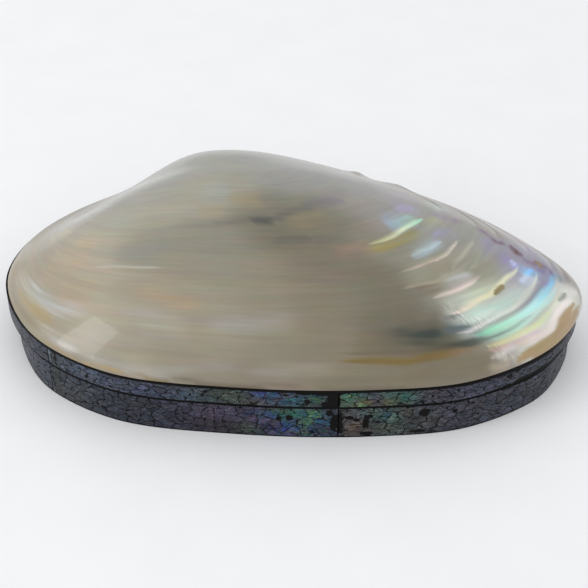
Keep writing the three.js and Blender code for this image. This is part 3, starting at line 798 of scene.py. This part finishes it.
# Black patches where chips are missing, and long bands of painted shadow along the seam under the lid near
# the right end: strength, mm round, height, half length, half height
RESIN_BLOTS_AND_SEAM_SHADOW = [
    # Painted shadow under the lid along the seam near the right end, here and in the next line
    (1, 440.3, 12.2, 20, 1),
    (0.7, 424.9, 12, 12, 0.45),
    (0.95, 370.1, 17.3, 9, 1),
    (0.8, 360.7, 17.4, 5, 0.5),
    (0.9, 286.7, 15, 0.5, 5),
    (0.98, 374.7, 15, 2.6, 5),
    (0.95, 371.3, 17, 3.2, 1.2),
    (0.9, 366.4, 17.2, 3.5, 1),
    (0.9, 367.2, 14, 1.4, 1.2),
    (0.8, 364.1, 13, 1.2, 0.8),
    (0.9, 372.4, 13, 1.6, 1.6),
    (0.7, 288.3, 15, 1.1, 5),
    (0.8, 308.6, 12.9, 1.8, 0.6),
    (0.7, 300.3, 13.6, 1.2, 0.6),
    (0.9, 428, 15.6, 1.5, 1.2),
    (0.85, 430.8, 16.4, 1.2, 0.9),
    (0.8, 426, 17.4, 2.4, 0.7),
    (0.85, 400.9, 13, 1.6, 0.8),
    (0.8, 403.4, 14.6, 1, 1.1),
    (0.7, 393.9, 12.6, 2, 0.7),
    # Painted shadow along the top of the tray under the lid near the right end, here and in the next line
    (1, 440.6, 11.3, 20, 0.9),
    (0.7, 425, 11.4, 12, 0.45),
    (0.9, 373.7, 9.6, 1.6, 1.6),
    (0.85, 368.5, 2.2, 3, 0.9),
    (0.8, 363.7, 4.4, 0.5, 3.4),
    (0.9, 286.1, 6, 0.5, 6),
    (0.75, 375.2, 6, 2.2, 6),
    (0.95, 376.7, 6, 0.9, 6),
    (0.97, 361.8, 7.6, 1.4, 1.5),
    (0.9, 358.8, 7.4, 1, 1.6),
    (0.7, 365.8, 5.6, 0.7, 4.5),
    (0.95, 379.2, 7.9, 1.9, 0.9),
    (0.9, 381.6, 6.6, 1.5, 0.8),
    (0.95, 384.2, 6, 1.3, 3.4),
    (0.9, 385.7, 8.2, 1.5, 1.1),
    (0.85, 387.5, 5.8, 1.8, 0.8),
    (0.9, 384.4, 1.4, 2.6, 1.4),
    (0.97, 401.1, 8.4, 2.3, 1.7),
    (0.9, 399.8, 1.6, 3.4, 0.9),
    (0.95, 305.5, 3.4, 1.8, 0.7),
    (0.9, 303.5, 4.2, 1, 0.8),
    (0.85, 410.5, 7.6, 1.2, 1.3),
    (0.8, 412.7, 6.4, 1.6, 0.6),
    (0.8, 319.6, 8.4, 1.5, 0.5),
    (0.8, 313.4, 2, 1.6, 0.5),
    (0.8, 330.1, 3.6, 1.2, 0.5),
    (0.8, 346.7, 1, 3.5, 0.6),
    (0.8, 360.6, 0.9, 3.5, 0.5),
    (0.8, 275.4, 4.5, 0.5, 4),
    (0.7, 283.5, 9, 1.5, 0.5),
]


def shares_near(points):
    """Shares of the way round that lie nearest to points of the plan."""
    count = 4000
    tree = KDTree(count)
    for step, (x, y) in enumerate(plan_points(np.arange(count) / count, 0, (0, 0))):
        tree.insert((x, y, 0), step)
    tree.balance()
    return np.array([tree.find((x, y, 0))[1] / count for x, y in points])


def oval(length, height, at_length, at_height, half_length, half_height):
    return np.exp(-((length - at_length) / half_length) ** 2
                  - ((height - at_height) / half_height) ** 2)


def paua_tint(length, height, is_lid):
    """Tone of a strip at each point, and how much black lies there: black resin, and painted shadow along
    the seam near the right end.
    """
    colour = np.tile(np.array(srgb(*STRIP_GROUND)), (len(length), 1))
    for tone, strength, at_length, at_height, half_length, half_height in PAUA_TONES:
        if (at_height > TRAY_TOP) == is_lid:
            weight = strength * oval(length, height, at_length, at_height,
                                     half_length, half_height)[:, None]
            colour += weight * (hex_colour(tone) - colour)
    resin = np.zeros(len(length))
    for strength, at_length, at_height, half_length, half_height in RESIN_BLOTS_AND_SEAM_SHADOW:
        if (at_height > TRAY_TOP) == is_lid:
            blot = strength * oval(length, height, at_length, at_height,
                                   half_length, half_height)
            resin = np.maximum(resin, blot)
    return np.column_stack([colour, 1 - resin])


def paua_strip(name, node, start, end, bottom, top, short, material):
    """A strip between two joints, let into the wall and slightly worn along its edges."""
    columns = int((end - start) * LENGTH_ROUND[-1] / STRIP_STEP)
    bm = bmesh.new()
    bmesh.ops.create_grid(bm, x_segments=columns, y_segments=STRIP_ROWS, size=0.5)
    flat = np.array([v.co[:2] for v in bm.verts]) + 0.5
    shares = start + JOINT_GAP + flat[:, 0] * (end - start - 2 * JOINT_GAP)
    points = plan_points(shares, 0, short)
    for vertex, (x, y), part in zip(bm.verts, points, flat[:, 1]):
        high = top(x) if callable(top) else top
        vertex.co = (x * MM, y * MM, (bottom + part * (high - bottom)) * MM)
    bm.normal_update()
    bm.faces.ensure_lookup_table()
    middle = bm.faces[len(bm.faces) // 2]
    if middle.normal.dot(Vector((*middle.calc_center_median()[:2], 0))) < 0:
        bmesh.ops.reverse_faces(bm, faces=bm.faces)
    bmesh.ops.solidify(bm, geom=bm.faces, thickness=STRIP_THICKNESS * MM)
    bmesh.ops.recalc_face_normals(bm, faces=bm.faces)
    round_edges(bm, STRIP_EDGE_RADIUS)
    place = np.array([v.co[:] for v in bm.verts]) / MM
    piece = new_piece(name, bm, [node], material, SHARP_TURN)
    near = shares_near(place[:, :2])
    near = near + (near < start - 0.01)
    length = arc_length(near)
    tint = piece.data.color_attributes.new("tint", "FLOAT_COLOR", "POINT")
    is_lid = bottom > TRAY_TOP
    tint.data.foreach_set("color", paua_tint(length, place[:, 2], is_lid).ravel())
    strip = piece.data.attributes.new("strip", "FLOAT_VECTOR", "POINT")
    flat = np.column_stack([length, place[:, 2], np.zeros(len(length))]) / MAP_MM
    strip.data.foreach_set("vector", flat.ravel())


# Materials
class Nodes:
    """Short calls for a material's nodes."""

    def __init__(self, name):
        self.material = bpy.data.materials.new(name)
        self.material.use_nodes = True
        self.tree = self.material.node_tree
        self.tree.nodes.clear()
        self.shader = self.add("ShaderNodeBsdfPrincipled")
        output = self.add("ShaderNodeOutputMaterial")
        self.link(self.shader.outputs[0], output.inputs["Surface"])

    def add(self, kind, **settings):
        node = self.tree.nodes.new(kind)
        for key, value in settings.items():
            setattr(node, key, value)
        return node

    def link(self, source, target):
        self.tree.links.new(source, target)

    def feed(self, socket, value):
        if isinstance(value, bpy.types.NodeSocket):
            self.link(value, socket)
        else:
            socket.default_value = value

    def math(self, operation, first, second=0.0, third=0.0):
        node = self.add("ShaderNodeMath", operation=operation)
        for socket, value in zip(node.inputs, (first, second, third)):
            self.feed(socket, value)
        return node.outputs[0]

    def mix(self, factor, first, second, blend="MIX"):
        node = self.add("ShaderNodeMix", data_type="RGBA", blend_type=blend)
        self.feed(node.inputs["Factor"], factor)
        for key, value in (("A", first), ("B", second)):
            socket = [s for s in node.inputs if s.name == key and s.type == "RGBA"][0]
            self.feed(socket, (*value, 1) if isinstance(value, tuple) and len(value) == 3 else value)
        return [s for s in node.outputs if s.type == "RGBA"][0]

    def ramp(self, factor, stops):
        node = self.add("ShaderNodeValToRGB")
        elements = node.color_ramp.elements
        while len(elements) < len(stops):
            elements.new(0.5)
        for element, (position, colour) in zip(elements, stops):
            element.position = position
            element.color = (*colour, 1)
        self.link(factor, node.inputs[0])
        return node.outputs[0]

    def level(self, factor, low, high, to_low=0.0, to_high=1.0):
        node = self.add("ShaderNodeMapRange", interpolation_type="SMOOTHSTEP")
        for socket, value in zip(node.inputs, (factor, low, high, to_low, to_high)):
            self.feed(socket, value)
        return node.outputs[0]

    def attribute(self, name):
        return self.add("ShaderNodeAttribute", attribute_type="GEOMETRY", attribute_name=name)

    def place(self):
        return self.add("ShaderNodeTexCoord").outputs["Object"]

    def channels(self, colour, mode="RGB"):
        node = self.add("ShaderNodeSeparateColor", mode=mode)
        self.link(colour, node.inputs[0])
        return node.outputs[:3]

    def scaled(self, vector, scale):
        node = self.add("ShaderNodeMapping")
        self.link(vector, node.inputs["Vector"])
        node.inputs["Scale"].default_value = scale
        return node.outputs[0]

    def stretched(self, vector, along, up):
        """Scales the two sides of a flat map, the second by a value that may change."""
        parts = self.add("ShaderNodeSeparateXYZ")
        self.link(vector, parts.inputs[0])
        joined = self.add("ShaderNodeCombineXYZ")
        self.link(self.math("MULTIPLY", parts.outputs[0], along), joined.inputs[0])
        self.link(self.math("MULTIPLY", parts.outputs[1], up), joined.inputs[1])
        return joined.outputs[0]

    def push(self, vector, amount, scale):
        """Moves a vector a little by a colour from a noise."""
        node = self.add("ShaderNodeVectorMath", operation="MULTIPLY_ADD")
        self.link(amount, node.inputs[0])
        node.inputs[1].default_value = (scale, scale, 0)
        self.link(vector, node.inputs[2])
        return node.outputs[0]

    def noise(self, vector, scale, detail, roughness, colour=False):
        """Noise with one scale, or with a scale for each axis."""
        if isinstance(scale, tuple):
            vector = self.scaled(vector, scale)
            scale = 1.0
        node = self.add("ShaderNodeTexNoise")
        self.link(vector, node.inputs["Vector"])
        node.inputs["Scale"].default_value = scale
        node.inputs["Detail"].default_value = detail
        node.inputs["Roughness"].default_value = roughness
        return node.outputs[1 if colour else 0]

    def voronoi(self, vector, scale, feature):
        node = self.add("ShaderNodeTexVoronoi", voronoi_dimensions="2D", feature=feature)
        self.link(vector, node.inputs["Vector"])
        node.inputs["Scale"].default_value = scale
        return node

    def bump(self, height, strength, distance, normal=None):
        node = self.add("ShaderNodeBump")
        node.inputs["Strength"].default_value = strength
        node.inputs["Distance"].default_value = distance
        self.link(height, node.inputs["Height"])
        if normal is not None:
            self.link(normal, node.inputs["Normal"])
        return node.outputs[0]

    def finish(self, **sockets):
        for name, value in sockets.items():
            self.feed(self.shader.inputs[name.replace("_", " ")], value)
        return self.material


def nacre_material():
    """Polished mother-of-pearl: tint, streaks along the growth lines, and a deep gloss."""
    n = Nodes("polished_nacre")
    painted = n.attribute("tint")
    growth = n.attribute("growth").outputs["Vector"]
    streaks = n.noise(growth, (3, 3, 90), 5.0, 0.65)
    broad = n.noise(growth, (1.6, 1.6, 18), 2.0, 0.5)
    clouds = n.noise(n.place(), 28.0, 3.0, 0.55)
    tone = n.math("MULTIPLY", n.level(streaks, 0.3, 0.7, 0.93, 1.05),
                  n.level(broad, 0.3, 0.7, 0.96, 1.03))
    tone = n.math("MULTIPLY", tone, n.level(clouds, 0.3, 0.7, 0.95, 1.05))
    ribs = n.noise(growth, (95, 95, 55), 3.0, 0.6)
    ribs = n.math("SUBTRACT", n.level(ribs, 0.35, 0.65), 0.5)
    tone = n.math("MULTIPLY_ADD", n.math("MULTIPLY", ribs, painted.outputs["Alpha"]), 0.5, tone)
    shade = n.mix(1.0, painted.outputs["Color"], tone, "MULTIPLY")
    hue = n.noise(growth, (3, 3, 40), 3.0, 0.6, colour=True)
    shade = n.mix(0.17, shade, hue, "SOFT_LIGHT")
    fine = n.noise(growth, (6, 6, 260), 3.0, 0.6)
    normal = n.bump(fine, 0.04, 0.0002)
    normal = n.bump(broad, 0.08, 0.0006, normal)
    rough = n.level(streaks, 0.2, 0.8, 0.3, 0.4)
    return n.finish(Base_Color=shade, Roughness=rough, Normal=normal, Coat_Weight=0.5,
                    Coat_Roughness=0.05, Specular_IOR_Level=0.35)


def resin_material():
    """Black lacquered resin with faint brush marks and dust dulling."""
    n = Nodes("black_resin")
    place = n.place()
    cloud = n.noise(place, 60.0, 4.0, 0.6)
    grain = n.noise(place, (90, 90, 600), 3.0, 0.6)
    shade = n.ramp(cloud, [(0.3, srgb(12, 11, 12)), (0.7, srgb(22, 20, 20))])
    normal = n.bump(grain, 0.12, 0.0002)
    return n.finish(Base_Color=shade, Roughness=n.level(cloud, 0.3, 0.7, 0.4, 0.55),
                    Normal=normal, Specular_IOR_Level=0.05)


# Colours that single chips shift the strip's tone to
CHIP_COLOURS = [
    (0.0, (0.75, 1.1, 1.3)), (0.14, (1.15, 1.3, 0.75)), (0.3, (0.8, 0.75, 1.6)),
    (0.46, (0.6, 1.5, 1.2)), (0.6, (1.4, 0.9, 1.1)), (0.74, (1.35, 1.35, 0.6)),
    (0.88, (0.6, 0.95, 1.6)), (1.0, (0.9, 1.3, 1.3)),
]
# Black of the resin, also used for the painted shadow along the seam
RESIN_AND_SEAM_SHADOW_BLACK = srgb(15, 14, 15)
# Chips in the strips are about this size, in millimetres
CHIP_LENGTH = 3.8
CHIP_HEIGHT = 2.3
LID_CHIP_HEIGHT = 1.7


def paua_material():
    """Paua shell crackled into chips and set in black resin, then rubbed flat."""
    n = Nodes("crackled_paua")
    painted = n.attribute("tint")
    strip = n.attribute("strip").outputs["Vector"]
    wander = n.noise(strip, (16, 22, 1), 1.0, 0.5, colour=True)
    ragged = n.noise(strip, (70, 90, 1), 4.0, 0.65, colour=True)
    bent = n.push(n.push(strip, wander, 0.035), ragged, 0.0028)
    flat = n.add("ShaderNodeSeparateXYZ")
    n.link(strip, flat.inputs[0])
    border = TRAY_TOP / MAP_MM
    chips_high = n.level(flat.outputs[1], border, border + 0.001,
                         MAP_MM / CHIP_HEIGHT, MAP_MM / LID_CHIP_HEIGHT)
    chips_at = n.stretched(bent, MAP_MM / CHIP_LENGTH, chips_high)
    chips = n.voronoi(chips_at, 1.0, "F1")
    edges = n.voronoi(chips_at, 1.0, "DISTANCE_TO_EDGE")
    shards = n.voronoi(chips_at, 2.4, "F1")
    splits = n.voronoi(chips_at, 2.4, "DISTANCE_TO_EDGE")
    hue, light, tilt = n.channels(chips.outputs["Color"])
    small = n.channels(shards.outputs["Color"])[0]
    drift = n.noise(strip, (30, 50, 1), 2.0, 0.5)
    hue = n.math("MULTIPLY_ADD", hue, 0.5, n.math("MULTIPLY_ADD", drift, 1.0, -0.25))
    lively = n.channels(painted.outputs["Color"], "HSV")[1]
    lean = n.level(lively, 0.3, 0.6, 0.15, 0.95)
    shade = n.mix(lean, painted.outputs["Color"], n.ramp(hue, CHIP_COLOURS), "MULTIPLY")
    turned = n.add("ShaderNodeVectorRotate", rotation_type="Z_AXIS")
    n.link(bent, turned.inputs["Vector"])
    n.link(n.math("MULTIPLY_ADD", tilt, 1.4, -0.7), turned.inputs["Angle"])
    lamella = n.noise(turned.outputs[0], (35, 340, 1), 3.0, 0.65)
    mottle = n.noise(strip, (60, 110, 1), 4.0, 0.65)
    tone = n.math("MULTIPLY", n.level(light, 0.0, 1.0, 0.82, 1.2),
                  n.level(lamella, 0.3, 0.7, 0.4, 1.6))
    tone = n.math("MULTIPLY", tone, n.level(small, 0.0, 1.0, 0.84, 1.14))
    tone = n.math("MULTIPLY", tone, n.level(mottle, 0.3, 0.7, 0.8, 1.2))
    shade = n.mix(1.0, shade, tone, "MULTIPLY")
    uneven = n.noise(strip, (45, 60, 1), 2.0, 0.5)
    reach = n.level(uneven, 0.3, 0.7, 0.005, 0.13)
    crack = n.level(edges.outputs["Distance"], n.math("MULTIPLY", reach, 0.25), reach)
    split = n.level(splits.outputs["Distance"], 0.0, 0.07, 0.3, 1.0)
    blots = n.noise(strip, (34, 60, 1), 3.0, 0.6)
    holes = n.level(blots, 0.345, 0.375)
    # The tint's alpha carries the resin blots and the painted seam shadow; where it is low the strip shows
    # black
    present = n.math("MULTIPLY_ADD", n.math("SUBTRACT", blots, 0.5), 1.2,
                     painted.outputs["Alpha"])
    present = n.level(present, 0.42, 0.52)
    solid = n.math("MULTIPLY", n.math("MULTIPLY", crack, split), n.math("MULTIPLY", holes, present))
    shade = n.mix(solid, RESIN_AND_SEAM_SHADOW_BLACK, shade)
    height = n.math("MULTIPLY_ADD", solid, 0.7, n.math("MULTIPLY", tilt, 0.3))
    normal = n.bump(height, 0.25, 0.0002)
    rough = n.level(solid, 0.0, 1.0, 0.5, 0.34)
    return n.finish(Base_Color=shade, Roughness=rough, Normal=normal, Specular_IOR_Level=0.08)


def floor_material():
    n = Nodes("pale_floor")
    speck = n.noise(n.place(), 40.0, 2.0, 0.5)
    shade = n.ramp(speck, [(0.3, (0.90, 0.90, 0.90)), (0.7, (0.92, 0.92, 0.92))])
    return n.finish(Base_Color=shade, Roughness=0.6, Specular_IOR_Level=0.2)


# Camera, floor and light
CAMERA_AT = (0.9, -335.9, 261.2)
CAMERA_TILT = 37.0
CAMERA_LENS = 78.7
# The left end of the shell, where the window is mirrored
LIT_POINT = Vector((-0.065, -0.03, 0.03))


def add_camera():
    data = bpy.data.cameras.new("camera")
    data.lens = CAMERA_LENS
    data.sensor_width = 36
    data.sensor_fit = "HORIZONTAL"
    data.clip_start = 0.01
    data.clip_end = 20
    camera = put_in_scene("camera", data)
    camera.location = Vector(CAMERA_AT) * MM
    camera.rotation_euler = (math.radians(90 - CAMERA_TILT), 0, 0)
    bpy.context.scene.camera = camera


def add_floor():
    bm = bmesh.new()
    bmesh.ops.create_grid(bm, x_segments=8, y_segments=8, size=2.5)
    mesh = bpy.data.meshes.new("floor")
    bm.to_mesh(mesh)
    bm.free()
    mesh.materials.append(floor_material())
    floor = put_in_scene("floor", mesh)


def add_light(name, direction, lean, distance, width, height, watts):
    """A soft box in a direction from the box, facing it, its top leaning by an angle."""
    data = bpy.data.lights.new(name, "AREA")
    data.shape = "RECTANGLE"
    data.size = width
    data.size_y = height
    data.energy = watts
    lamp = put_in_scene(name, data)
    towards = Vector(direction).normalized()
    side = towards.cross(Vector((0, 0, 1))).normalized()
    rise = side.cross(towards)
    angle = math.radians(lean)
    up = rise * math.cos(angle) + side * math.sin(angle)
    basis = Matrix((up.cross(towards), up, towards)).transposed()
    lamp.matrix_world = Matrix.Translation(towards * distance + LIT_POINT) @ basis.to_4x4()


def add_studio():
    """A bright tent overhead that dims towards the floor, and one window at the left."""
    world = bpy.data.worlds.new("studio")
    world.use_nodes = True
    nodes, links = world.node_tree.nodes, world.node_tree.links
    direction = nodes.new("ShaderNodeTexCoord")
    axes = nodes.new("ShaderNodeSeparateXYZ")
    ramp = nodes.new("ShaderNodeValToRGB")
    links.new(direction.outputs["Generated"], axes.inputs[0])
    links.new(axes.outputs[2], ramp.inputs[0])
    ramp.color_ramp.elements[0].color = (0.64, 0.65, 0.67, 1)
    ramp.color_ramp.elements[1].color = (1.04, 1.05, 1.07, 1)
    back = nodes["Background"]
    links.new(ramp.outputs[0], back.inputs[0])
    back.inputs[1].default_value = 1.0
    bpy.context.scene.world = world
    add_light("left_window", (-0.905, -0.37, 0.24), 10, 1.0, 0.38, 1.3, 4.6)
    bpy.context.scene.view_settings.view_transform = "Standard"


def build_box():
    resin = resin_material()
    paua = paua_material()
    shell_lid(nacre_material())
    lid_frame(resin)
    box_tray(resin)
    left, front = STRIP_JOINTS
    lid = (TRAY_TOP + EDGE_BAND, strip_top, FRAME_SHORT, paua)
    tray = (EDGE_BAND, TRAY_TOP - EDGE_BAND, TRAY_SHORT, paua)
    paua_strip("lid_paua_front", "lid_strip_front", left, front, *lid)
    paua_strip("lid_paua_round", "lid_strip_round", front, left + 1, *lid)
    paua_strip("box_paua_front", "box_strip_front", left, front, *tray)
    paua_strip("box_paua_round", "box_strip_round", front, left + 1, *tray)


add_camera()
add_floor()
add_studio()
build_box()
